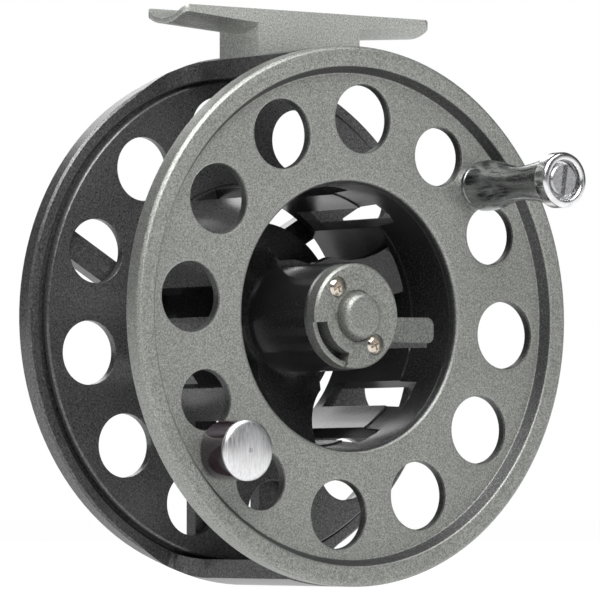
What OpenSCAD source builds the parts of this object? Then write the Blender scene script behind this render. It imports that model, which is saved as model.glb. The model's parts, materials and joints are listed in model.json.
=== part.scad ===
// Single-action fly reel: open half frame, perforated spool with a palming rim,
// quick-release latch, crank knob with counterweight, and a disc drag at the back.
//
// Depths run rearwards (+Y) from the front plane of the palming rim. Angles run
// from +X towards +Z, as seen from the handle side. The origin is the bottom of
// the saddle in the reel foot, at the middle of its length.

/* [Spool flanges] */
// Outer radius of the palming rim
rim_r = 48.5; // [46:0.1:48.6]
// Radius where the raised rim starts
rim_inner_r = 44.8; // [44.2:0.1:46]
// Thickness of the palming rim
rim_t = 4.0; // [3.4:0.1:4.4]
// Depth of the flange face behind the rim's front plane
face_depth = 2.1; // [1.2:0.1:2.4]
// Outer radius of the rear flange
rear_flange_r = 44.3; // [43:0.1:44.4]
// Depth of the rear flange's inner face
rear_flange_depth = 33.8; // [33:0.1:34]
// Thickness of the rear flange
rear_flange_t = 1.6; // [1.2:0.1:1.7]

/* [Lightening holes] */
// Radius of the circle that the front holes lie on
hole_circle_r = 35.66; // [35.2:0.01:36]
// Angle of the first front hole
hole_phase = -4.4; // [-6:0.1:-3]
// Radius of a full-size front hole
hole_r = 6.15; // [5:0.05:6.3]
// Radius of the front holes beside the handle and the counterweight
small_hole_r = 5.3; // [4.5:0.05:5.4]
// Radius of a rear hole
rear_hole_r = 5.8; // [4.5:0.05:6]
// Angle of the first rear hole
rear_hole_phase = 10.4; // [8:0.1:12]

/* [Arbor and hub] */
// Radius of the opening in the front flange
opening_r = 25.1; // [24.8:0.1:26]
// Outer radius of the arbor
arbor_r = 25.2; // [24.8:0.1:26]
// Inner radius of the arbor behind its taper
arbor_bore_r = 23.1; // [22.6:0.1:23.4]
// Width of a slot in the arbor
slot_w = 5.6; // [4:0.1:6.5]
// Depth where the arbor's slots start
slot_front = 9.5; // [8:0.5:13]
// Outer radius of the hub tube
hub_r = 9.74; // [9.5:0.01:10]
// Angle of the first hub arm
arm_angle = 24.5; // [20:0.5:28]

/* [Handle and counterweight] */
// Distance of the handle and the counterweight from the reel axis
crank_r = 37.3; // [37:0.1:38]
// Angle of the handle
handle_angle = 40.6; // [39.5:0.1:41.5]
// Length of the handle knob with its end ring
knob_len = 25.4; // [22:0.1:28]
// Radius at the waist of the knob
knob_waist_r = 3.08; // [2.9:0.01:3.6]
// Radius of the counterweight post
weight_r = 5.3; // [4.8:0.1:5.5]
// Height of the counterweight above the flange face
weight_h = 7.2; // [6:0.1:9]

/* [Frame] */
// Outer radius of the frame ring
ring_r = 47.2; // [46.8:0.1:47.6]
// Inner radius of the frame ring
ring_inner_r = 44.7; // [44.6:0.1:44.9]
// Inner radius of the ring's lip, behind the rear flange
ring_lip_r = 42.4; // [41.5:0.1:43.5]
// Depth of the frame's rear face
frame_back = 38.94; // [38.8:0.01:39.1]
// Outer radius of the two bridges
bridge_r = 48.5; // [48.3:0.1:48.8]
// Half the width of a bridge
bridge_half_w = 11.55; // [10.05:0.5:13.05]
// Radius of the drag housing
drum_r = 18.05; // [17.6:0.05:18.6]

/* [Reel foot] */
// Distance from the saddle bottom down to the reel axis
axis_drop = 53.4; // [53:0.1:54]
// Depth of the middle of the foot
foot_depth = 20.4; // [19:0.1:22]
// Length of the foot
foot_len = 56.3; // [50:0.1:62]
// Width of the foot and its pedestal
foot_w = 11.8; // [11:0.1:13]
// Length of the pedestal
pedestal_len = 23.1; // [20:0.1:26]
// Radius of the saddle that takes the rod's reel seat
saddle_r = 8.9; // [8.6:0.1:10]

/* [Drag knob] */
// Radius of the drag knob
drag_knob_r = 12.5; // [11:0.1:14]
// Number of finger scallops round the knob
scallops = 8; // [6:1:10]

/* [Hidden] */
$fn = 96;
running_gap = 0.05;       // radial or axial gap between a fixed and a turning piece
through = 1;              // how far a cutter passes beyond the face it cuts
hole_count = 12;
hole_step = 360 / hole_count;
arm_count = 3;
rear_flange_back = rear_flange_depth + rear_flange_t;

// arbor
lip_r = 1.0;              // rounding of the front opening
taper_end = 14;           // depth where the arbor's taper ends
taper_step = 0.25;        // small step in radius at the taper's end
slot_back = 33;
slot_half_depth = 3;

// hub and its arms
hub_front = 3.0;
hub_back = 29;
arm_root_depth = 19.9;    // front face of an arm at the hub
arm_tip_depth = 15.4;     // front face of an arm at the arbor
arm_t = 2.4;
arm_half_w = 7;
arm_waist_r = 12;         // radius of the hollow side of an arm
arm_waist_at = 20;
arm_waist_half = 4.15;
hub_disc_r = 10.8;
hub_front_bore_r = 3.3;
hub_bore_r = 3.6;
clutch_seat = 19.8;       // depth of the step that the clutch rests against
hub_thread_depth = 5.5;   // how deep the cap screws' holes go into the hub

// spindle, bushing and clutch
spindle_r = 3.0;
groove_r = 2.3;
groove_front = 1.7;
groove_back = 3.0;
spindle_front = 0.9;
spindle_fit = 0.05;       // radial clearance of the spindle's shaft
spindle_flange_r = 4.6;
spindle_flange_t = 1.0;
spindle_back = 45.2;
nut_t = 2.0;
bush_r = 4.6;
bush_front = 4;
bush_back = 10;
clutch_r = 8.0;
clutch_bore_r = 6.6;
clutch_front = 20.3;
clutch_back = 28.7;
roller_r = 1.0;
roller_circle_r = 5.55;
roller_count = 10;
sleeve_r = 4.5;
sleeve_front = 20.1;

// hub cap and latch
cap_r = 9.43;
cap_front = 0.3;
cap_screw_angles = [130, -50.5];
cap_screw_circle_r = 6.6;
notch_from = 188;
notch_to = 256;
notch_inner_r = 6.9;
notch_lip_r = 8.5;
latch_front = groove_front + running_gap;
latch_back = groove_back - running_gap;
latch_travel = 1.3;
latch_hold_r = groove_r + 0.1;
latch_free_r = spindle_r + 0.2;
lever_half_h = 3.7;
lever_right = 6.0;        // where the lever's plate ends, at rest
lever_neck_bottom = -3.7; // the tab is narrower here, to clear a cap screw when pressed
lever_neck_right = 6.9;
lever_shoulder = -3.6;
lever_left = -4.6;
lever_nose_half_h = 2.3;  // half the height of the plate's narrow left end
pocket_gap = 0.2;         // clearance of the lever in the cap's pocket
spring_pocket_x = -8.1;
spring_z = 1.4;
tab_tip = 18.6;
tab_top = 0;
tab_bottom = -4.5;
tab_corner_r = 1.3;
button_r = 4.2;
button_front = -2.0;
button_seat_r = 3.9;

// handle
post_r = 1.5;
post_slot_angle = 98;
post_slot_w = 1.0;
knob_base = face_depth - 0.75;
ring_len = 3.2;
knob_end = knob_base - knob_len;
knob_ring_r = 5.0;
recess_r = 3.55;
recess_depth = 1.8;
handle_bush_r = 2.15;

// counterweight
weight_cap_t = 0.8;
weight_dome = 0.7;

// frame
frame_front = 35.5;       // front face of the ring
plate_front = 36.2;       // front face of the ribs
bridge_inner_r = 45.2;
bridge_front = 5;
bridge_chamfer_front = 33.5;  // depth where a bridge starts to slope down to the ring
bridge_fillet = 5;        // rounding between a bridge's side and the ring
bridge_flare = 24;        // how far out a bridge's outer surface blends into the ring
flare_r = 37.3;           // radius of that blend, whose centre lies off the reel axis
flare_shift = 11.6;
rib_root = 11;
rib_w = 4.8;
rib_offset = 7.3;
rib_angles = [30, 150, 270];
drum_front = 31;
drum_bore_r = 15;

// drag
cover_t = 1;
cover_hole_r = 5.2;
washer_r = 14.4;
front_washer_back = drum_front + 1.15;
disc_front = front_washer_back + running_gap;
disc_back = disc_front + 1.2;
rear_washer_front = disc_back + running_gap;
plate_washer = rear_washer_front + 1.15;
pressure_back = plate_washer + 1;
pin_circle_r = 9.5;
pin_r = 1.2;
thrust_front = 39.6;
thrust_bore_r = 5.0;
cover_screw_circle_r = 16.3;
cover_screw_r = 0.9;
cover_screw_tip = drum_front - 0.8;
cover_head_r = 1.4;
cover_head_t = 0.9;
spring_front = 40.6;
spring_back = 41.8;
insert_front = spring_back + running_gap;
insert_back = 45.4;
thread_r = 2.4;
drag_knob_front = 39.3;
drag_knob_back = 46.8;
knob_shell_r = 11.2;
knob_step = 43.4;         // depth of the shoulder that the insert sits against
insert_r = 8.4;
insert_boss_r = 4.2;
end_cap_r = 6.2;
end_cap_t = 1.2;
spring_outer_r = 8.6;
spring_inner_r = 4.0;

// foot
foot_screw_x = 6;
foot_screw_r = 1.5;
foot_head_r = 2.4;
lip_z = 2.2;
under_root_r = saddle_r + 2.05;
under_tip_r = saddle_r + 0.95;

// ---------------------------------------------------------------- placement

// Puts a child's Z axis on the reel axis, pointing rearwards from a depth.
module at_depth(depth) {
  translate([0, depth - foot_depth, -axis_drop]) rotate([-90, 0, 0]) children();
}

// Moves a child of at_depth() out to a radius at an angle.
module polar(angle, radius) {
  rotate([0, 0, -angle]) translate([radius, 0, 0]) children();
}

// A turned piece on the reel axis; the outline's points are [radius, depth].
module turned(outline) {
  at_depth(0) rotate_extrude() polygon(outline);
}

// A turned piece on an axis parallel to the reel axis.
module turned_at(angle, radius, outline) {
  at_depth(0) polar(angle, radius) rotate_extrude() polygon(outline);
}

// A plain ring or disc between two depths.
module ring(outer, inner, front, back) {
  turned([[inner, front], [outer, front], [outer, back], [inner, back]]);
}

// A straight round hole or pin at an angle and radius.
module round_at(angle, radius, r, front, back) {
  at_depth(front) polar(angle, radius) cylinder(r = r, h = back - front);
}

// Points of a quarter arc from one side of a corner to the next.
function quarter(centre, r, from, steps = 6) =
  [for (i = [0:steps]) centre + r * [cos(from + 90 * i / steps), sin(from + 90 * i / steps)]];

// True for a front hole that stands beside the handle or the counterweight.
function beside_crank(angle) = abs(sin(angle - handle_angle)) < sin(hole_step * 0.6);

// ------------------------------------------------------------------- frame

module rib(angle, offset) {
  at_depth(plate_front) rotate([0, 0, -angle]) {
    translate([rib_root, -offset - rib_w / 2, 0]) {
      cube([ring_inner_r - rib_root, rib_w, frame_back - plate_front]);
    }
  }
}

// A bridge seen from above, as [x, depth]: its sides round off into the ring.
function bridge_plan() = let (
  arc_x = bridge_half_w + bridge_fillet,
  arc_depth = frame_front - bridge_fillet,
  right = quarter([arc_x, arc_depth], bridge_fillet, 90),
  left = quarter([-arc_x, arc_depth], bridge_fillet, 0)
) concat(
  [[-bridge_half_w, bridge_front], [bridge_half_w, bridge_front]],
  [for (i = [len(right) - 1:-1:0]) right[i]],
  [[bridge_flare, frame_front], [bridge_flare, frame_back]],
  [[-bridge_flare, frame_back], [-bridge_flare, frame_front]],
  [for (i = [len(left) - 1:-1:0]) left[i]]
);

// A bridge between the ring and the front; side is 1 at the top and -1 below.
module bridge(side) {
  chamfer = 0.4;
  reach = bridge_r + through;
  intersection() {
    turned([
      [bridge_inner_r, bridge_front], [bridge_r - chamfer, bridge_front],
      [bridge_r, bridge_front + chamfer], [bridge_r, bridge_chamfer_front],
      [ring_r, frame_back - chamfer], [ring_r - chamfer, frame_back], [bridge_inner_r, frame_back]
    ]);
    translate([0, -foot_depth, side > 0 ? -axis_drop : -axis_drop - reach]) {
      linear_extrude(reach) polygon(bridge_plan());
    }
    at_depth(0) translate([0, -side * flare_shift, 0]) cylinder(r = flare_r, h = frame_back + through);
  }
}

module frame() {
  chamfer = 0.4;
  color([0.13, 0.13, 0.13]) difference() {
    union() {
      turned([
        [ring_lip_r, plate_front], [ring_inner_r, plate_front],
        [ring_inner_r, frame_front + chamfer], [ring_inner_r + chamfer, frame_front],
        [ring_r - chamfer, frame_front], [ring_r, frame_front + chamfer],
        [ring_r, frame_back - chamfer], [ring_r - chamfer, frame_back],
        [ring_lip_r + chamfer, frame_back], [ring_lip_r, frame_back - chamfer]
      ]);
      bridge(1);
      bridge(-1);
      ring(drum_r, 0, plate_front, frame_back);
      ring(drum_r, drum_bore_r, drum_front, plate_front + 0.2);
      for (angle = rib_angles) rib(angle, rib_offset);
      rib(270, -rib_offset);
    }
    round_at(0, 0, spindle_r, plate_front - through, frame_back + through);
    for (i = [0:2]) {
      round_at(120 * i, pin_circle_r, pin_r + running_gap, plate_front - through, frame_back + through);
      round_at(120 * i + 60, cover_screw_circle_r, cover_screw_r, drum_front - through, frame_back + through);
      round_at(120 * i + 60, cover_screw_circle_r, cover_head_r, frame_back - cover_head_t,
               frame_back + through);
    }
    for (side = [-1, 1]) foot_screw_hole(side);
  }
}

// ------------------------------------------------------------ foot and screws

module foot_screw_hole(side) {
  translate([side * foot_screw_x, 0, bridge_inner_r - axis_drop - 1.5]) {
    cylinder(r = foot_screw_r, h = 6);
    cylinder(r = foot_head_r + 0.2, h = 2.4);
  }
}

module foot_outline() {
  corner = 1.4;
  for (turn = [0, 1]) {
    inset = turn == 0 ? [0, corner] : [corner, 0];
    translate([-foot_len / 2 + inset[0], -foot_w / 2 + inset[1]]) {
      square([foot_len - 2 * inset[0], foot_w - 2 * inset[1]]);
    }
  }
  for (x = [-1, 1]) for (y = [-1, 1]) {
    translate([x * (foot_len / 2 - corner), y * (foot_w / 2 - corner)]) circle(corner);
  }
}

// The foot's underside: a bar that tapers from the pedestal to each tip.
module foot_bar() {
  reach = (foot_len - pedestal_len) / 2;
  translate([0, 0, saddle_r]) rotate([0, 90, 0]) {
    cylinder(r = under_root_r, h = pedestal_len, center = true);
    for (side = [-1, 1]) mirror([0, 0, side < 0 ? 1 : 0]) {
      translate([0, 0, pedestal_len / 2]) cylinder(r1 = under_root_r, r2 = under_tip_r, h = reach);
    }
  }
}

module reel_foot() {
  color([0.48, 0.49, 0.47]) difference() {
    union() {
      intersection() {
        foot_bar();
        translate([0, 0, -8]) linear_extrude(8 + lip_z) foot_outline();
      }
      translate([-pedestal_len / 2, -foot_w / 2, bridge_r - axis_drop - 2]) {
        cube([pedestal_len, foot_w, axis_drop - bridge_r + 2 + lip_z]);
      }
    }
    translate([0, 0, saddle_r]) rotate([0, 90, 0]) {
      cylinder(r = saddle_r, h = foot_len + 2 * through, center = true);
    }
    at_depth(0) cylinder(r = bridge_r, h = 60);
    for (side = [-1, 1]) translate([side * foot_screw_x, 0, bridge_inner_r - axis_drop]) {
      cylinder(r = foot_screw_r, h = 6.2);
    }
  }
}

module foot_screws() {
  head_z = bridge_inner_r - axis_drop - 0.1;
  color([0.7, 0.7, 0.7]) for (side = [-1, 1]) translate([side * foot_screw_x, 0, head_z]) {
    difference() {
      union() {
        cylinder(r = foot_head_r, h = 1.0);
        cylinder(r = foot_screw_r, h = 6.0);
      }
      for (turn = [0, 90]) rotate([0, 0, turn]) translate([-1.3, -0.25, -through]) {
        cube([2.6, 0.5, through + 0.5]);
      }
    }
  }
}

// ------------------------------------------------------------------ spindle

module spindle() {
  color([0.75, 0.75, 0.76]) turned([
    [0, spindle_front], [2.0, spindle_front], [spindle_r - 0.2, groove_front - 0.2],
    [spindle_r - 0.2, groove_front], [groove_r, groove_front], [groove_r, groove_back],
    [spindle_r - spindle_fit, groove_back], [spindle_r - spindle_fit, plate_front - spindle_flange_t],
    [spindle_flange_r, plate_front - spindle_flange_t], [spindle_flange_r, plate_front],
    [spindle_r, plate_front], [spindle_r, frame_back], [thread_r, frame_back],
    [thread_r, spindle_back], [0, spindle_back]
  ]);
}

module spindle_nut() {
  color([0.7, 0.7, 0.7]) difference() {
    at_depth(frame_back) cylinder(r = 4.4, h = nut_t, $fn = 6);
    ring(thread_r, 0, frame_back - through, frame_back + nut_t + through);
  }
}

// --------------------------------------------------------------------- drag

module drag_cover() {
  color([0.2, 0.2, 0.2]) difference() {
    ring(drum_r, cover_hole_r, drum_front - cover_t, drum_front);
    for (i = [0:2]) {
      round_at(120 * i + 60, cover_screw_circle_r, cover_screw_r, cover_screw_tip, drum_front + through);
    }
  }
}

// The cover's screws go in from the back of the frame.
module cover_screws() {
  head_back = frame_back - 0.1;
  color([0.72, 0.7, 0.64]) for (i = [0:2]) difference() {
    turned_at(120 * i + 60, cover_screw_circle_r, [
      [0, cover_screw_tip], [cover_screw_r, cover_screw_tip], [cover_screw_r, frame_back - cover_head_t],
      [cover_head_r, frame_back - cover_head_t], [cover_head_r, head_back - 0.2],
      [cover_head_r - 0.2, head_back], [0, head_back]
    ]);
    at_depth(head_back - 0.45) polar(120 * i + 60, cover_screw_circle_r) {
      for (turn = [0, 90]) rotate([0, 0, turn]) translate([-0.9, -0.18, 0]) {
        cube([1.8, 0.36, through + 0.45]);
      }
    }
  }
}

module front_drag_washer() {
  color([0.62, 0.45, 0.28]) ring(washer_r, cover_hole_r, drum_front, front_washer_back);
}

module rear_drag_washer() {
  color([0.62, 0.45, 0.28]) ring(washer_r, cover_hole_r, rear_washer_front, plate_washer);
}

module pressure_plate() {
  color([0.7, 0.7, 0.7]) ring(washer_r, cover_hole_r, plate_washer, pressure_back);
}

module push_pins() {
  color([0.75, 0.75, 0.75]) for (i = [0:2]) {
    round_at(120 * i, pin_circle_r, pin_r, pressure_back, thrust_front);
  }
}

module thrust_plate() {
  color([0.7, 0.7, 0.7]) ring(knob_shell_r - 0.5, thrust_bore_r, thrust_front, spring_front);
}

// A disc spring, coned towards the knob.
module drag_spring() {
  t = 0.45;
  color([0.55, 0.56, 0.58]) turned([
    [spring_outer_r, spring_front], [spring_outer_r, spring_front + t],
    [spring_inner_r, spring_back], [spring_inner_r, spring_back - t]
  ]);
}

module drag_knob() {
  chamfer = 0.8;
  color([0.12, 0.12, 0.12]) difference() {
    turned([
      [knob_shell_r, drag_knob_front], [drag_knob_r, drag_knob_front],
      [drag_knob_r, drag_knob_back - chamfer], [drag_knob_r - chamfer, drag_knob_back],
      [end_cap_r, drag_knob_back], [end_cap_r, drag_knob_back - end_cap_t],
      [0, drag_knob_back - end_cap_t], [0, insert_back], [insert_boss_r, insert_back],
      [insert_boss_r, knob_step], [knob_shell_r, knob_step]
    ]);
    for (i = [0:scallops - 1]) {
      round_at(360 * i / scallops, drag_knob_r + 2.4, 3.0, drag_knob_front - through,
               drag_knob_back + through);
    }
  }
}

module knob_insert() {
  color([0.8, 0.66, 0.35]) turned([
    [thread_r + running_gap, insert_front], [insert_r, insert_front], [insert_r, knob_step],
    [insert_boss_r, knob_step], [insert_boss_r, insert_back], [thread_r + running_gap, insert_back]
  ]);
}

module knob_end_cap() {
  color([0.7, 0.7, 0.7]) turned([
    [0, drag_knob_back - end_cap_t], [end_cap_r, drag_knob_back - end_cap_t],
    [end_cap_r, drag_knob_back - 0.2], [end_cap_r - 0.8, drag_knob_back + 0.3], [0, drag_knob_back + 0.6]
  ]);
}

module brake_rotor() {
  bore = spindle_r - spindle_fit + running_gap;
  color([0.6, 0.6, 0.62]) turned([
    [bore, sleeve_front], [sleeve_r, sleeve_front], [sleeve_r, disc_front], [washer_r, disc_front],
    [washer_r, disc_back], [bore, disc_back]
  ]);
}

// -------------------------------------------------------------------- spool

// Inner radius of the arbor along its taper.
function taper_r(depth) = let (
  from = [opening_r - lip_r, face_depth + lip_r],
  to = [arbor_bore_r + taper_step, taper_end - taper_step]
) from[0] + (to[0] - from[0]) * (depth - from[1]) / (to[1] - from[1]);

module flange_plate() {
  edge = 0.6;
  turned(concat(
    quarter([opening_r, face_depth + lip_r], lip_r, 180),
    [
      [rim_inner_r - 1.1, face_depth], [rim_inner_r, 0.25], [rim_inner_r + 0.3, 0],
      [rim_r - edge, 0], [rim_r, edge], [rim_r, rim_t - 0.4], [rim_r - 0.4, rim_t],
      [taper_r(rim_t), rim_t]
    ]
  ));
}

module spool_front_flange() {
  color([0.42, 0.43, 0.41]) difference() {
    flange_plate();
    front_holes();
    for (angle = [handle_angle, handle_angle + 180]) {
      round_at(angle, crank_r, post_r, face_depth - through, rim_t + through);
    }
  }
}

module spool_arbor() {
  color([0.12, 0.12, 0.12]) difference() {
    turned([
      [taper_r(rim_t), rim_t], [arbor_r, rim_t], [arbor_r, rear_flange_back],
      [arbor_bore_r, rear_flange_back], [arbor_bore_r, taper_end],
      [arbor_bore_r + taper_step, taper_end - taper_step]
    ]);
    arbor_slots();
  }
}

module spool_rear_flange() {
  edge = 0.3;
  color([0.12, 0.12, 0.12]) difference() {
    turned([
      [arbor_r, rear_flange_depth], [rear_flange_r - edge, rear_flange_depth],
      [rear_flange_r, rear_flange_depth + edge], [rear_flange_r, rear_flange_back - edge],
      [rear_flange_r - edge, rear_flange_back], [arbor_r, rear_flange_back]
    ]);
    rear_holes();
  }
}

module hub_tube() {
  turned([
    [hub_front_bore_r, hub_front], [hub_r - 0.3, hub_front], [hub_r, hub_front + 0.3],
    [hub_r, hub_back], [clutch_r, hub_back], [clutch_r, clutch_seat], [hub_bore_r, clutch_seat],
    [hub_bore_r, bush_back], [bush_r, bush_back], [bush_r, bush_front],
    [hub_front_bore_r, bush_front]
  ]);
}

module spool_hub() {
  color([0.12, 0.12, 0.12]) difference() {
    union() {
      hub_tube();
      hub_arms();
    }
    for (angle = cap_screw_angles) {
      round_at(angle, cap_screw_circle_r, 1.0, hub_front - through, hub_front + hub_thread_depth);
    }
  }
}

// Three arms cut out of a shallow cone between the hub and the arbor.
module hub_arms() {
  tip = arbor_bore_r;
  intersection() {
    turned([
      [hub_r - 0.5, arm_root_depth], [hub_disc_r, arm_root_depth], [tip, arm_tip_depth],
      [tip, arm_tip_depth + arm_t], [hub_disc_r, arm_root_depth + arm_t],
      [hub_r - 0.5, arm_root_depth + arm_t]
    ]);
    at_depth(arm_tip_depth - through) linear_extrude(arm_root_depth - arm_tip_depth + arm_t + 2 * through) {
      circle(hub_disc_r);
      for (i = [0:arm_count - 1]) rotate(-arm_angle - 360 * i / arm_count) arm_outline();
    }
  }
}

module arm_outline() {
  difference() {
    translate([hub_r - 2, -arm_half_w]) square([arbor_bore_r - hub_r + 3, 2 * arm_half_w]);
    for (side = [-1, 1]) {
      translate([arm_waist_at, side * (arm_waist_half + arm_waist_r)]) circle(arm_waist_r);
    }
  }
}

// Slots along the arbor, with none where an arm meets it.
module arbor_slots() {
  for (i = [0:hole_count - 1]) if (i % (hole_count / arm_count) != 0) {
    at_depth(slot_front) polar(arm_angle + hole_step * i, arbor_bore_r + 1) {
      translate([-slot_half_depth, -slot_w / 2, 0]) {
        cube([2 * slot_half_depth, slot_w, slot_back - slot_front]);
      }
    }
  }
}

module front_holes() {
  bevel = 0.3;
  for (i = [0:hole_count - 1]) {
    angle = hole_phase + hole_step * i;
    r = beside_crank(angle) ? small_hole_r : hole_r;
    turned_at(angle, hole_circle_r, [
      [0, face_depth - through], [r + bevel + through, face_depth - through],
      [r, face_depth + bevel], [r, rim_t + through], [0, rim_t + through]
    ]);
  }
}

module rear_holes() {
  for (i = [0:hole_count - 1]) {
    round_at(rear_hole_phase + hole_step * i, hole_circle_r, rear_hole_r,
             rear_flange_depth - through, rear_flange_back + through);
  }
}

module front_bushing() {
  color([0.7, 0.52, 0.3]) ring(bush_r, spindle_r, bush_front, bush_back);
}

module clutch_shell() {
  color([0.72, 0.72, 0.74]) ring(clutch_r, clutch_bore_r, clutch_front, clutch_back);
}

module clutch_rollers() {
  color([0.8, 0.8, 0.82]) for (i = [0:roller_count - 1]) {
    round_at(360 * i / roller_count, roller_circle_r, roller_r - 0.01, clutch_front + 0.5, clutch_back - 0.5);
  }
}

// ------------------------------------------------------- hub cap and latch

// A slice of a ring between two angles, under half a turn.
module sector(outer, inner, from, to, front, back) {
  middle = (from + to) / 2;
  intersection() {
    ring(outer, inner, front, back);
    at_depth(front) linear_extrude(back - front) polygon([
      [0, 0],
      for (spoke = [[from, 2], [middle, 3], [to, 2]]) outer * spoke[1] * [cos(spoke[0]), -sin(spoke[0])]
    ]);
  }
}

// A box in the reel's own X and Z, measured from the reel axis.
module hub_box(x, z, front, back) {
  translate([x[0], front - foot_depth, z[0] - axis_drop]) {
    cube([x[1] - x[0], back - front, z[1] - z[0]]);
  }
}

// Room behind the cap for the lever, over its whole travel, and for its spring.
module lever_pocket() {
  front = latch_front - 0.1;
  back = hub_front + through;
  half_h = lever_half_h + pocket_gap;
  nose_half_h = lever_nose_half_h + pocket_gap;
  left = lever_left - latch_travel - pocket_gap;
  shoulder = lever_shoulder - latch_travel - pocket_gap;
  hub_box([shoulder, lever_right + pocket_gap], [-half_h, half_h], front, back);
  hub_box([left, lever_shoulder], [-nose_half_h, nose_half_h], front, back);
  hub_box([spring_pocket_x, left + 0.1], [spring_z - 0.7, spring_z + 0.7], front, back);
  tab_left = lever_neck_right - latch_travel - pocket_gap;
  hub_box([tab_left, cap_r + 3], [tab_bottom - 0.3, tab_top + 0.3], front, back);
}

module hub_cap() {
  edge = 0.45;
  color([0.5, 0.51, 0.49]) difference() {
    turned([
      [button_seat_r, cap_front + 0.3], [button_r + 0.35, cap_front + 0.3], [button_r + 0.5, cap_front],
      [cap_r - edge, cap_front], [cap_r, cap_front + edge], [cap_r, hub_front], [button_seat_r, hub_front]
    ]);
    lever_pocket();
    sector(notch_lip_r, notch_inner_r, notch_from + 1, notch_to - 1, cap_front - through, hub_front + through);
    sector(cap_r + through, notch_lip_r - 0.1, notch_from, notch_to, cap_front - through, cap_front + 1.0);
    for (angle = cap_screw_angles) {
      round_at(angle, cap_screw_circle_r, 1.05, cap_front - through, hub_front + through);
      round_at(angle, cap_screw_circle_r, 1.95, cap_front - through, cap_front + 0.9);
    }
  }
}

module hub_button() {
  crown = 1.4;
  color([0.4, 0.41, 0.4]) turned(concat(
    [[0, button_front]],
    quarter([button_r - crown, button_front + crown], crown, -90),
    [
      [button_r, cap_front + 0.3], [button_seat_r, cap_front + 0.3], [button_seat_r, 1.4], [3.35, 1.4],
      [3.35, button_front + 1.3], [0, button_front + 1.3]
    ]
  ));
}

module cap_screws() {
  head_front = cap_front + 0.15;
  head_back = cap_front + 0.9;
  color([0.75, 0.7, 0.62]) for (angle = cap_screw_angles) difference() {
    turned_at(angle, cap_screw_circle_r, [
      [0, head_front], [1.0, head_front + 0.1], [1.6, head_front + 0.45], [1.6, head_back],
      [1.0, head_back], [1.0, hub_front + 5], [0, hub_front + 5]
    ]);
    at_depth(head_front - through) polar(angle, cap_screw_circle_r) {
      for (turn = [0, 90]) rotate([0, 0, turn + 12]) translate([-1.0, -0.2, 0]) {
        cube([2.0, 0.4, through + 0.5]);
      }
    }
  }
}

module latch_lever() {
  corner_x = tab_tip - tab_corner_r;
  color([0.5, 0.51, 0.49]) difference() {
    union() {
      hub_box([lever_shoulder, lever_right], [-lever_half_h, lever_half_h], latch_front, latch_back);
      hub_box([lever_left, 0], [-lever_nose_half_h, lever_nose_half_h], latch_front, latch_back);
      hub_box([0, lever_neck_right + 1], [lever_neck_bottom, tab_top], latch_front, latch_back);
      hub_box([lever_neck_right, corner_x], [tab_bottom, tab_top], latch_front, latch_back);
      hub_box([corner_x - 0.1, tab_tip], [tab_bottom + tab_corner_r, tab_top - tab_corner_r],
              latch_front, latch_back);
      for (z = [tab_bottom + tab_corner_r, tab_top - tab_corner_r]) {
        at_depth(latch_front) translate([corner_x, -z, 0]) {
          cylinder(r = tab_corner_r, h = latch_back - latch_front);
        }
      }
    }
    ring(latch_hold_r, 0, latch_front - through, latch_back + through);
    at_depth(latch_front - through) translate([latch_travel, 0, 0]) {
      cylinder(r = latch_free_r, h = latch_back - latch_front + 2 * through);
    }
  }
}

// Points of one ring of wire round a spring's axis.
function wire_ring(turn, pitch, coil_r, wire_r, sides) = [
  for (j = [0:sides - 1]) let (a = 360 * j / sides, r = coil_r + wire_r * cos(a)) [
    pitch * turn + wire_r * sin(a), r * cos(360 * turn), r * sin(360 * turn)
  ]
];

// A coil spring along +X.
module coil(turns, pitch, coil_r, wire_r, per_turn = 16, sides = 8) {
  last = turns * per_turn;
  points = [for (i = [0:last]) each wire_ring(i / per_turn, pitch, coil_r, wire_r, sides)];
  walls = [
    for (i = [0:last - 1]) for (j = [0:sides - 1]) [
      i * sides + j, i * sides + (j + 1) % sides,
      (i + 1) * sides + (j + 1) % sides, (i + 1) * sides + j
    ]
  ];
  ends = [[for (j = [0:sides - 1]) sides - 1 - j], [for (j = [0:sides - 1]) last * sides + j]];
  polyhedron(points = points, faces = concat(walls, ends), convexity = 4);
}

module latch_spring() {
  wire_r = 0.13;
  depth = (latch_front + latch_back) / 2;
  color([0.7, 0.7, 0.72]) translate([spring_pocket_x + wire_r, depth - foot_depth, spring_z - axis_drop]) {
    coil(turns = 3.5, pitch = 0.5, coil_r = 0.42, wire_r = wire_r);
  }
}

// ------------------------------------------------------------------- handle

// Radius of the grip along its length, from 0 at the base to 1 at the ring.
function grip_r(t) =
  t < 0.47
    ? knob_waist_r + (4.62 - knob_waist_r) * pow(cos(90 * t / 0.47), 1.5)
    : knob_waist_r + (4.55 - knob_waist_r) * pow((t - 0.47) / 0.53, 1.9);

module handle_knob() {
  grip_front = knob_base - 3.2;
  grip_len = grip_front - (knob_end + ring_len);
  steps = 22;
  color([0.45, 0.45, 0.47]) turned_at(handle_angle, crank_r, concat(
    [
      [handle_bush_r, knob_base], [3.7, knob_base], [3.9, knob_base - 0.2], [3.9, knob_base - 0.9],
      [3.5, knob_base - 1.1], [3.5, knob_base - 1.5], [4.3, knob_base - 1.8],
      [4.6, knob_base - 2.3]
    ],
    [for (i = [0:steps]) [grip_r(i / steps), grip_front - grip_len * i / steps]],
    [[handle_bush_r, knob_end + ring_len]]
  ));
}

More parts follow.
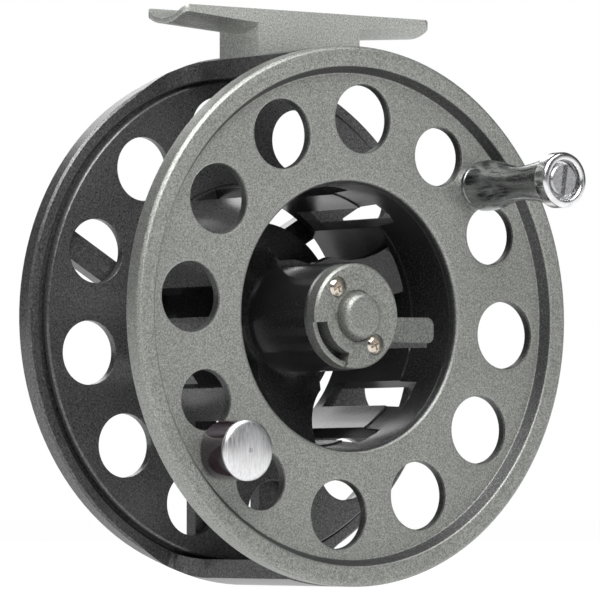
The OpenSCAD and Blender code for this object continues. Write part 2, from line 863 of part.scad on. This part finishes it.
module handle_end_ring() {
  edge = 0.7;
  front = knob_end;
  color([0.8, 0.8, 0.81]) turned_at(handle_angle, crank_r, [
    [handle_bush_r - 0.5, front + recess_depth], [recess_r, front + recess_depth],
    [recess_r, front + 0.3], [recess_r + 0.3, front], [knob_ring_r - edge, front],
    [knob_ring_r - 0.2, front + 0.2], [knob_ring_r, front + edge],
    [knob_ring_r, front + ring_len - 0.3], [knob_ring_r - 0.3, front + ring_len],
    [handle_bush_r - 0.5, front + ring_len]
  ]);
}

module handle_bushes() {
  bush_len = 3;
  gap = post_r + running_gap;
  color([0.9, 0.88, 0.8]) for (front = [knob_end + ring_len, knob_base - bush_len]) {
    turned_at(handle_angle, crank_r, [
      [gap, front], [handle_bush_r, front], [handle_bush_r, front + bush_len], [gap, front + bush_len]
    ]);
  }
}

module handle_washer() {
  color([0.75, 0.75, 0.75]) turned_at(handle_angle, crank_r, [
    [post_r, knob_base + 0.05], [3.6, knob_base + 0.05], [3.6, face_depth], [post_r, face_depth]
  ]);
}

module handle_post() {
  head_front = knob_end + 0.5;
  head_back = knob_end + recess_depth - 0.05;
  color([0.78, 0.78, 0.79]) difference() {
    turned_at(handle_angle, crank_r, [
      [0, head_front], [2.7, head_front], [3.0, head_front + 0.3], [3.0, head_back],
      [post_r, head_back], [post_r, rim_t], [0, rim_t]
    ]);
    at_depth(head_front - through) polar(handle_angle, crank_r) {
      rotate([0, 0, handle_angle + post_slot_angle]) translate([-4, -post_slot_w / 2, 0]) {
        cube([8, post_slot_w, through + 0.9]);
      }
    }
  }
}

// ------------------------------------------------------------ counterweight

module counterweight() {
  top = face_depth - weight_h + weight_cap_t;
  color([0.1, 0.08, 0.09]) turned_at(handle_angle + 180, crank_r, [
    [post_r, face_depth], [weight_r - 0.2, face_depth], [weight_r, face_depth - 0.2],
    [weight_r, top], [post_r, top]
  ]);
}

// Domed face disc of the counterweight.
module counterweight_face() {
  top = face_depth - weight_h;
  face_r = weight_r + 0.12;
  steps = 6;
  color([0.82, 0.82, 0.83]) turned_at(handle_angle + 180, crank_r, concat(
    [[0, top + weight_cap_t], [face_r - 0.1, top + weight_cap_t], [face_r, top + weight_cap_t - 0.1]],
    [for (i = [0:steps]) [face_r * cos(90 * i / steps), top + 0.3 - (weight_dome + 0.3) * sin(90 * i / steps)]]
  ));
}

module counterweight_rivet() {
  top = face_depth - weight_h + weight_cap_t;
  color([0.6, 0.6, 0.6]) round_at(handle_angle + 180, crank_r, post_r, top, rim_t);
}

frame();
reel_foot();
foot_screws();
spindle();
spindle_nut();
drag_cover();
cover_screws();
front_drag_washer();
rear_drag_washer();
pressure_plate();
push_pins();
thrust_plate();
drag_spring();
drag_knob();
knob_insert();
knob_end_cap();
brake_rotor();
spool_front_flange();
spool_arbor();
spool_rear_flange();
spool_hub();
front_bushing();
clutch_shell();
clutch_rollers();
hub_cap();
hub_button();
cap_screws();
latch_lever();
latch_spring();
handle_post();
handle_washer();
handle_knob();
handle_end_ring();
handle_bushes();
counterweight();
counterweight_face();
counterweight_rivet();
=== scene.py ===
import json
import math

import bpy
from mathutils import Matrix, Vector


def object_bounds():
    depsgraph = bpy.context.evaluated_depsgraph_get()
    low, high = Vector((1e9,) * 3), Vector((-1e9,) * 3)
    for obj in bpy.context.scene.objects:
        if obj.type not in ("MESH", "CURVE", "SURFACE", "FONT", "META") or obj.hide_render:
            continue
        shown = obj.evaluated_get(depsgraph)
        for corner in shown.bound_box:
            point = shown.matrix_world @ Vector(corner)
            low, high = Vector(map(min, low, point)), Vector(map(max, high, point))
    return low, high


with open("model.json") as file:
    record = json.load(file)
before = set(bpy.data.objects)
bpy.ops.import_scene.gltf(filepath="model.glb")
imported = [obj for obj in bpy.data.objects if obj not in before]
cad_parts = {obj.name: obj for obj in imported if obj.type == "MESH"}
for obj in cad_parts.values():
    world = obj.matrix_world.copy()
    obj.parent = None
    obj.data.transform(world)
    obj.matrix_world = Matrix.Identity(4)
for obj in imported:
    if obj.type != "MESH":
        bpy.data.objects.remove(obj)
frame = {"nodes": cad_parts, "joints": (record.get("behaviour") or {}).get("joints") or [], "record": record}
cad_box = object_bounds()

MM = 0.001
nodes = frame["nodes"]
record = frame["record"]
joints = {joint["name"]: joint for joint in frame["joints"]}
AXIS = Vector(joints["spool_spin"]["pos_m"])      # on the reel's axis, at the rim's front plane


# ---------------------------------------------------------------- camera, light and stage

CAMERA_AZIMUTH = -37.23
CAMERA_ELEVATION = -2.17
CAMERA_DISTANCE = 0.9949
CAMERA_LENS = 330.9
CAMERA_AIM = Vector((-4.05, 12.0, 3.11)) * MM     # from AXIS


def direction(azimuth, elevation):
    """Unit vector towards a camera or light: azimuth 0 is in front, on -Y, and +90 is on +X."""
    a, e = math.radians(azimuth), math.radians(elevation)
    return Vector((math.sin(a) * math.cos(e), -math.cos(a) * math.cos(e), math.sin(e)))


def aim(obj, target):
    obj.rotation_euler = (target - obj.location).to_track_quat("-Z", "Y").to_euler()


def make_camera():
    data = bpy.data.cameras.new("camera")
    camera = bpy.data.objects.new("camera", data)
    bpy.context.scene.collection.objects.link(camera)
    target = AXIS + CAMERA_AIM
    camera.location = target + direction(CAMERA_AZIMUTH, CAMERA_ELEVATION) * CAMERA_DISTANCE
    aim(camera, target)
    data.lens = CAMERA_LENS
    data.sensor_width = 36
    data.clip_start = 0.01
    data.clip_end = 50
    bpy.context.scene.camera = camera


# Azimuth and elevation in degrees, distance and size in metres, power in watts
LIGHTS = {
    "key": (-24, 45, 0.42, (0.26, 0.26), 1.55),
    "top": (-12, 66, 0.42, (0.5, 0.24), 1.3),
    "card": (40, 8, 0.9, (0.4, 0.5), 0.25),
    "left": (-98, 56, 0.55, (0.1, 0.4), 0.3),
    "streak": (-60, 62, 0.5, (0.05, 0.5), 0.35),
    "back_fill": (165, 30, 1.2, (0.6, 0.6), 3),
}


def area_light(name, azimuth, elevation, distance, size, power):
    data = bpy.data.lights.new(name, "AREA")
    data.shape = "RECTANGLE"
    data.size, data.size_y = size
    data.energy = power
    light = bpy.data.objects.new(name, data)
    bpy.context.scene.collection.objects.link(light)
    light.location = AXIS + direction(azimuth, elevation) * distance
    aim(light, AXIS)


def make_lights():
    for name, settings in LIGHTS.items():
        area_light(name, *settings)


BACKDROP_STRENGTH = 1.0      # the white that the camera sees
FILL_STRENGTH = 0.07         # the faint sky that lights the reel


def make_world():
    """White behind the reel, with only a faint fill falling on it."""
    world = bpy.data.worlds.new("studio")
    bpy.context.scene.world = world
    world.use_nodes = True
    tree = world.node_tree
    tree.nodes.clear()
    out = tree.nodes.new("ShaderNodeOutputWorld")
    mix = tree.nodes.new("ShaderNodeMixShader")
    seen = tree.nodes.new("ShaderNodeBackground")
    fill = tree.nodes.new("ShaderNodeBackground")
    path = tree.nodes.new("ShaderNodeLightPath")
    seen.inputs["Color"].default_value = (1, 1, 1, 1)
    seen.inputs["Strength"].default_value = BACKDROP_STRENGTH
    fill.inputs["Color"].default_value = (0.95, 0.97, 1, 1)
    fill.inputs["Strength"].default_value = FILL_STRENGTH
    tree.links.new(path.outputs["Is Camera Ray"], mix.inputs[0])
    tree.links.new(fill.outputs[0], mix.inputs[1])
    tree.links.new(seen.outputs[0], mix.inputs[2])
    tree.links.new(mix.outputs[0], out.inputs["Surface"])


FLOOR_RADIUS = 6.0
FLOOR_SIDES = 128
FLOOR_GAP = 0.0002           # under the reel's lowest point
FLOOR_GLOW = 1.15
FLOOR_GLOW_SHARE = 0.85


def make_floor():
    """A pale round floor that the reel's lower bridge stands on."""
    height = cad_box[0][2] - FLOOR_GAP
    angles = [math.tau * i / FLOOR_SIDES for i in range(FLOOR_SIDES)]
    rim = [(FLOOR_RADIUS * math.cos(a), FLOOR_RADIUS * math.sin(a), height) for a in angles]
    mesh = bpy.data.meshes.new("floor")
    mesh.from_pydata(rim, [], [list(range(FLOOR_SIDES))])
    floor = bpy.data.objects.new("floor", mesh)
    bpy.context.scene.collection.objects.link(floor)
    paint = bpy.data.materials.new("floor_white")
    paint.use_nodes = True
    tree = paint.node_tree
    tree.nodes.clear()
    out = tree.nodes.new("ShaderNodeOutputMaterial")
    mix = tree.nodes.new("ShaderNodeMixShader")
    matt = tree.nodes.new("ShaderNodeBsdfDiffuse")
    glow = tree.nodes.new("ShaderNodeEmission")
    matt.inputs["Color"].default_value = (0.9, 0.9, 0.9, 1)
    glow.inputs["Strength"].default_value = FLOOR_GLOW
    mix.inputs[0].default_value = FLOOR_GLOW_SHARE
    tree.links.new(matt.outputs[0], mix.inputs[1])
    tree.links.new(glow.outputs[0], mix.inputs[2])
    tree.links.new(mix.outputs[0], out.inputs["Surface"])
    mesh.materials.append(paint)


# ---------------------------------------------------------------- material building blocks

class Shader:
    """A Principled material and the few kinds of node that the finishes below are made of."""

    def __init__(self, name):
        self.material = bpy.data.materials.new(name)
        self.material.use_nodes = True
        self.tree = self.material.node_tree
        self.surface = self.tree.nodes["Principled BSDF"]
        self.place = self.tree.nodes.new("ShaderNodeTexCoord").outputs["Object"]

    def set(self, **values):
        for name, value in values.items():
            self.surface.inputs[name.replace("_", " ")].default_value = value

    def link(self, source, target):
        self.tree.links.new(source, target)

    def noise(self, scale, detail=2.0, rough=0.5, place=None):
        node = self.tree.nodes.new("ShaderNodeTexNoise")
        node.inputs["Scale"].default_value = scale
        node.inputs["Detail"].default_value = detail
        node.inputs["Roughness"].default_value = rough
        self.link(place or self.place, node.inputs["Vector"])
        return node.outputs["Fac"]

    def streaks(self, stretch, scale, detail, rough):
        """Noise drawn out along one axis."""
        node = self.tree.nodes.new("ShaderNodeMapping")
        node.inputs["Scale"].default_value = stretch
        self.link(self.place, node.inputs["Vector"])
        return self.noise(scale, detail, rough, node.outputs[0])

    def ramp(self, source, stops):
        """stops: list of (position, grey or colour)."""
        node = self.tree.nodes.new("ShaderNodeValToRGB")
        elements = node.color_ramp.elements
        while len(elements) < len(stops):
            elements.new(0.5)
        for element, (at, colour) in zip(elements, stops):
            element.position = at
            shade = (colour,) * 3 if isinstance(colour, (int, float)) else colour
            element.color = (*shade, 1)
        self.link(source, node.inputs["Fac"])
        return node.outputs["Color"]

    def math(self, operation, a, b=0.0):
        node = self.tree.nodes.new("ShaderNodeMath")
        node.operation = operation
        for socket, value in zip(node.inputs, (a, b)):
            if isinstance(value, (int, float)):
                socket.default_value = value
            else:
                self.link(value, socket)
        return node.outputs[0]

    def mix(self, factor, a, b):
        node = self.tree.nodes.new("ShaderNodeMix")
        node.data_type = "RGBA"
        for socket, value in ((node.inputs["Factor"], factor), (node.inputs[6], a), (node.inputs[7], b)):
            if isinstance(value, (int, float)):
                socket.default_value = value
            elif isinstance(value, tuple):
                socket.default_value = (*value, 1)
            else:
                self.link(value, socket)
        return node.outputs[2]

    def parts(self):
        """X, Y and Z of the place on the object."""
        node = self.tree.nodes.new("ShaderNodeSeparateXYZ")
        self.link(self.place, node.inputs[0])
        return node.outputs

    def depth(self):
        """Metres behind the rim's front plane."""
        return self.math("SUBTRACT", self.parts()[1], AXIS.y)

    def radius(self):
        """Metres from the reel's axis."""
        x, _, z = self.parts()
        dx = self.math("SUBTRACT", x, AXIS.x)
        dz = self.math("SUBTRACT", z, AXIS.z)
        squares = self.math("ADD", self.math("MULTIPLY", dx, dx), self.math("MULTIPLY", dz, dz))
        return self.math("SQRT", squares)

    def step(self, source, low, high):
        """0 below low, 1 above high, smooth between."""
        node = self.tree.nodes.new("ShaderNodeMapRange")
        node.interpolation_type = "SMOOTHSTEP"
        node.inputs["From Min"].default_value = low
        node.inputs["From Max"].default_value = high
        self.link(source, node.inputs["Value"])
        return node.outputs["Result"]

    def bump(self, height, strength, distance):
        node = self.tree.nodes.new("ShaderNodeBump")
        node.inputs["Strength"].default_value = strength
        node.inputs["Distance"].default_value = distance
        self.link(height, node.inputs["Height"])
        self.link(node.outputs["Normal"], self.surface.inputs["Normal"])

    def colour(self, source):
        self.link(source, self.surface.inputs["Base Color"])

    def roughness(self, source):
        self.link(source, self.surface.inputs["Roughness"])


def darker(colour, share):
    return tuple(c * share for c in colour)


def speckled(shader, low, high):
    """Metallic paint: fine flakes over a slow drift of tone. Returns the flakes and the colour."""
    flakes = shader.noise(3400, 3, 0.7)
    drift = shader.noise(90, 2)
    middle = tuple((a + b) / 2 for a, b in zip(low, high))
    fine = shader.ramp(flakes, [(0.36, low), (0.52, middle), (0.68, high)])
    return flakes, shader.mix(shader.step(drift, 0.3, 0.7), fine, shader.mix(0.9, low, fine))


# ---------------------------------------------------------------- finishes, one per material slot

PAINT_GRAIN = (0.4, 0.00005)             # strength and height of the flakes' relief

# Where painted shade darkens the front flange's paint, in metres: radius, then depth
RIM_STEP = (0.0436, 0.0438)
RIM_SIDE = (0.0447, 0.0449)
HOLE_WALLS = (0.0022, 0.0026)
FLANGE_BACK = (0.0036, 0.0041)

# Radius where the spool's glossy inside, darkened with painted shade, meets its speckled outside
BORE_EDGE = (0.0245, 0.0255)


def speckled_paint(name, low, high):
    s = Shader(name)
    s.set(Metallic=0.7)
    flakes, paint = speckled(s, low, high)
    s.colour(paint)
    s.roughness(s.ramp(flakes, [(0.3, 0.38), (0.7, 0.5)]))
    s.bump(flakes, *PAINT_GRAIN)
    return s.material


def painted_grey():
    """The front flange's paint, with painted shade in the holes, on the step inside the rim and on its back
    towards the line.
    """
    s = Shader("painted_grey")
    s.set(Metallic=0.7)
    flakes, paint = speckled(s, (0.17, 0.174, 0.163), (0.46, 0.47, 0.44))
    # painted shade: near black put on the hole walls, the step inside the rim and the flange's back, which
    # lie in shade
    painted_shade = s.mix(s.step(flakes, 0.45, 0.7), (0.05, 0.05, 0.05), (0.13, 0.13, 0.13))
    back = s.step(s.depth(), *FLANGE_BACK)
    walls = s.mix(s.step(s.radius(), *RIM_SIDE), painted_shade, paint)
    face = s.mix(s.step(s.radius(), *RIM_STEP), paint, walls)
    front = s.mix(s.step(s.depth(), *HOLE_WALLS), face, walls)
    s.colour(s.mix(back, front, painted_shade))
    satin = s.ramp(flakes, [(0.3, 0.4), (0.7, 0.52)])
    shine = s.ramp(flakes, [(0.3, 0.24), (0.7, 0.32)])
    s.roughness(s.mix(back, satin, shine))
    s.bump(flakes, *PAINT_GRAIN)
    return s.material


def painted_dark():
    """The frame's and the spool's dark paint, glossy and near black with painted shade inside the arbor; on
    the spool behind the front flange its darkness is partly painted shade.
    """
    s = Shader("painted_dark")
    s.set(Metallic=0.6)
    flakes = s.noise(3000, 3, 0.65)
    outer = s.step(s.radius(), *BORE_EDGE)
    # painted shade: the bore and the hub tube are painted near black
    inside = s.ramp(flakes, [(0.34, 0.03), (0.55, 0.05), (0.7, 0.09)])
    outside = s.ramp(flakes, [(0.34, 0.06), (0.55, 0.12), (0.7, 0.22)])
    s.colour(s.mix(outer, inside, outside))
    shine = s.ramp(flakes, [(0.3, 0.17), (0.7, 0.25)])
    satin = s.ramp(flakes, [(0.3, 0.26), (0.7, 0.36)])
    s.roughness(s.mix(outer, shine, satin))
    s.bump(s.noise(1100, 2), 0.15, 0.00005)
    return s.material


def turned_metal(name, colour, roughness):
    """Bare metal with fine turning marks round the reel's axis."""
    s = Shader(name)
    s.set(Metallic=1.0)
    rings = s.math("SINE", s.math("MULTIPLY", s.radius(), 26000.0))
    marks = s.noise(2200, 2)
    s.colour(s.mix(s.step(marks, 0.3, 0.7), darker(colour, 0.8), colour))
    s.roughness(s.ramp(marks, [(0.3, roughness * 0.8), (0.7, roughness * 1.25)]))
    s.bump(rings, 0.08, 0.00001)
    return s.material


def smooth_metal(name, colour, roughness):
    """Polished or plated metal with faint wear."""
    s = Shader(name)
    s.set(Metallic=1.0)
    wear = s.noise(900, 3)
    s.colour(s.mix(s.step(wear, 0.35, 0.7), darker(colour, 0.85), colour))
    s.roughness(s.ramp(wear, [(0.3, roughness * 0.7), (0.75, roughness * 1.4)]))
    s.bump(wear, 0.04, 0.00002)
    return s.material


def drawn_metal(name, colour, roughness):
    """Dark polished metal with fine marks drawn along Y."""
    s = Shader(name)
    s.set(Metallic=1.0, Anisotropic=0.5)
    marks = s.streaks((1, 0.04, 1), 2600, 3, 0.6)
    s.colour(s.mix(s.step(marks, 0.3, 0.7), darker(colour, 0.6), colour))
    s.roughness(s.ramp(marks, [(0.3, roughness * 0.75), (0.7, roughness * 1.25)]))
    s.bump(marks, 0.25, 0.00003)
    return s.material


def brushed_face(name, colour, roughness):
    """Bright metal, brushed up and down its face."""
    s = Shader(name)
    s.set(Metallic=1.0)
    marks = s.streaks((1, 1, 0.08), 3600, 4, 0.7)
    s.colour(s.mix(s.step(marks, 0.3, 0.7), darker(colour, 0.72), colour))
    s.roughness(s.ramp(marks, [(0.3, roughness * 0.8), (0.7, roughness * 1.2)]))
    s.bump(marks, 0.35, 0.00004)
    return s.material


def black_gloss():
    s = Shader("black_gloss")
    s.set(Coat_Weight=0.6, Coat_Roughness=0.08)
    smoke = s.noise(400, 3)
    s.colour(s.ramp(smoke, [(0.3, (0.02, 0.014, 0.017)), (0.7, (0.036, 0.024, 0.03))]))
    s.roughness(s.ramp(smoke, [(0.3, 0.12), (0.7, 0.2)]))
    s.bump(smoke, 0.03, 0.00002)
    return s.material


def plastic(name, dark, light, roughness):
    s = Shader(name)
    grain = s.noise(3000, 3, 0.6)
    s.colour(s.ramp(grain, [(0.3, dark), (0.7, light)]))
    s.roughness(s.ramp(grain, [(0.3, roughness * 0.85), (0.7, roughness * 1.15)]))
    s.bump(grain, 0.3, 0.00003)
    return s.material


def cork():
    s = Shader("cork")
    crumbs = s.noise(1400, 4, 0.7)
    dark, middle, light = (0.28, 0.16, 0.08), (0.5, 0.33, 0.18), (0.68, 0.5, 0.32)
    s.colour(s.ramp(crumbs, [(0.3, dark), (0.5, middle), (0.7, light)]))
    s.set(Roughness=0.85)
    s.bump(crumbs, 0.5, 0.00008)
    return s.material


FINISHES = {
    "painted_grey": painted_grey,
    "painted_dark": painted_dark,
    "painted_cap": lambda: speckled_paint("painted_cap", (0.15, 0.154, 0.145), (0.42, 0.43, 0.4)),
    "steel": lambda: turned_metal("steel", (0.6, 0.6, 0.61), 0.26),
    "screw_steel": lambda: smooth_metal("screw_steel", (0.74, 0.66, 0.57), 0.2),
    "polished_metal": lambda: drawn_metal("polished_metal", (0.36, 0.365, 0.37), 0.27),
    "bright_aluminium": lambda: smooth_metal("bright_aluminium", (0.86, 0.86, 0.87), 0.2),
    "black_gloss": black_gloss,
    "knob_plastic": lambda: plastic("knob_plastic", 0.025, 0.05, 0.45),
    "bronze": lambda: turned_metal("bronze", (0.6, 0.42, 0.22), 0.34),
    "brass": lambda: turned_metal("brass", (0.78, 0.6, 0.3), 0.25),
    "cork": cork,
    "nylon": lambda: plastic("nylon", 0.6, 0.75, 0.5),
    "spring_steel": lambda: smooth_metal("spring_steel", (0.32, 0.33, 0.36), 0.25),
}

# Nodes that look a little different from the rest of their slot
OWN_FINISHES = {
    # painted light: the foot's grey paint is made lighter for the light falling on it from above
    "reel_foot": lambda: speckled_paint("foot_paint_painted_light", (0.27, 0.275, 0.26), (0.7, 0.715, 0.675)),
    "counterweight_face": lambda: brushed_face("brushed_face", (0.86, 0.86, 0.87), 0.34),
    "latch_lever": lambda: speckled_paint("painted_lever", (0.1, 0.103, 0.096), (0.3, 0.31, 0.29)),
}


# Width of the rounded edges on each carried-over part, in millimetres
EDGES = {
    "spool_front_flange": 0.22, "spool_arbor": 0.08, "spool_rear_flange": 0.15, "spool_hub": 0.2,
    "frame": 0.3, "reel_foot": 0.25, "hub_cap": 0.12, "hub_button": 0.12, "latch_lever": 0.15,
    "handle_knob": 0.12, "handle_end_ring": 0.15, "counterweight": 0.12, "counterweight_face": 0.1,
    "drag_knob": 0.4, "knob_end_cap": 0.2, "drag_cover": 0.1,
}
WELD_DISTANCE = 2e-6
SHARP_ANGLE = 35             # degrees between faces, above which an edge is rounded


def soften(obj, width):
    """Rounds the part's sharp edges."""
    weld = obj.modifiers.new("weld", "WELD")
    weld.merge_threshold = WELD_DISTANCE
    bevel = obj.modifiers.new("bevel", "BEVEL")
    bevel.width = width * MM
    bevel.segments = 2
    bevel.limit_method = "ANGLE"
    bevel.angle_limit = math.radians(SHARP_ANGLE)
    bevel.use_clamp_overlap = True
    smooth = obj.modifiers.new("smooth", "WEIGHTED_NORMAL")
    smooth.keep_sharp = False
    smooth.weight = 80


def dress_nodes():
    """Gives each CAD node its slot's finish, or its own, and softens its edges."""
    made = {slot: build() for slot, build in FINISHES.items()}
    own = {node: build() for node, build in OWN_FINISHES.items()}
    slots = {part["node"]: part["material_slot"] for part in record["subparts"]}
    for name, obj in nodes.items():
        obj.data.materials.clear()
        obj.data.materials.append(own.get(name) or made[slots[name]])
        if name in EDGES:
            soften(obj, EDGES[name])


bpy.context.scene.view_settings.view_transform = "Standard"
make_camera()
make_lights()
make_world()
make_floor()
dress_nodes()
